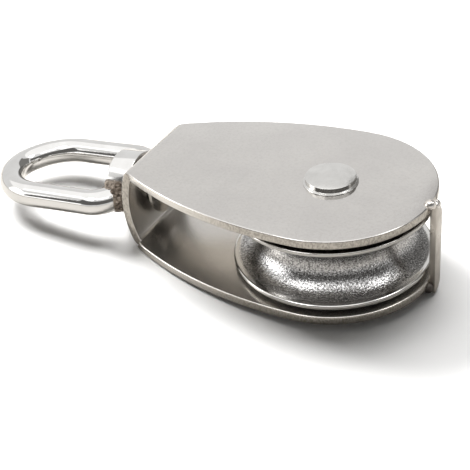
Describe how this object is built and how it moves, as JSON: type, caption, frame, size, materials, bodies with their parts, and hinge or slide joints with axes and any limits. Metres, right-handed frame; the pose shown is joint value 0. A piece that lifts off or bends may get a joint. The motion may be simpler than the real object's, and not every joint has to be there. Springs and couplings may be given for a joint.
{
  "type": "single pulley block",
  "caption": "Small single pulley block: a grooved sheave on a riveted axle in a folded metal strap, with a swivel ring at one end, for leading a light rope.",
  "frame": {"origin": "centre of the sheave, on the axle's axis, midway between the cheeks", "axes": "+Z along the axle, out of the cheek with the formed rivet head; +X from the axle to the tip with the tie bar, so -X runs to the swivel eye; Y across the cheeks"},
  "size_m": [0.1283, 0.0516, 0.0276],
  "materials": {
    "strap_steel": "satin sheet with bright edges",
    "sheave_steel": "blasted groove between polished rims",
    "bearing_bronze": "plain turned",
    "rivet_steel": "polished, formed head",
    "bar_steel": "sawn and lightly polished",
    "eye_steel": "mirror polished",
    "weld_metal": "rough weld with heat colour"
  },
  "bodies": {
    "block": {"side_strap": "strap_steel", "axle_rivet": "rivet_steel", "tie_bar": "bar_steel", "tie_weld_upper": "weld_metal", "tie_weld_lower": "weld_metal"},
    "sheave": {"sheave": "sheave_steel", "sheave_bush": "bearing_bronze"},
    "eye": {"eye_ring": "eye_steel", "swivel_collar": "eye_steel", "swivel_stud": "rivet_steel", "ring_weld_near": "weld_metal", "ring_weld_far": "weld_metal"}
  },
  "joints": [
    {"name": "sheave_spin", "type": "hinge", "parent": "block", "child": "sheave", "pos_m": [0, 0, 0], "axis": [0, 0, 1], "continuous": true},
    {"name": "eye_swivel", "type": "hinge", "parent": "block", "child": "eye", "pos_m": [-0.0527, 0, 0], "axis": [0.9971, 0, 0.0767], "continuous": true}
  ]
}
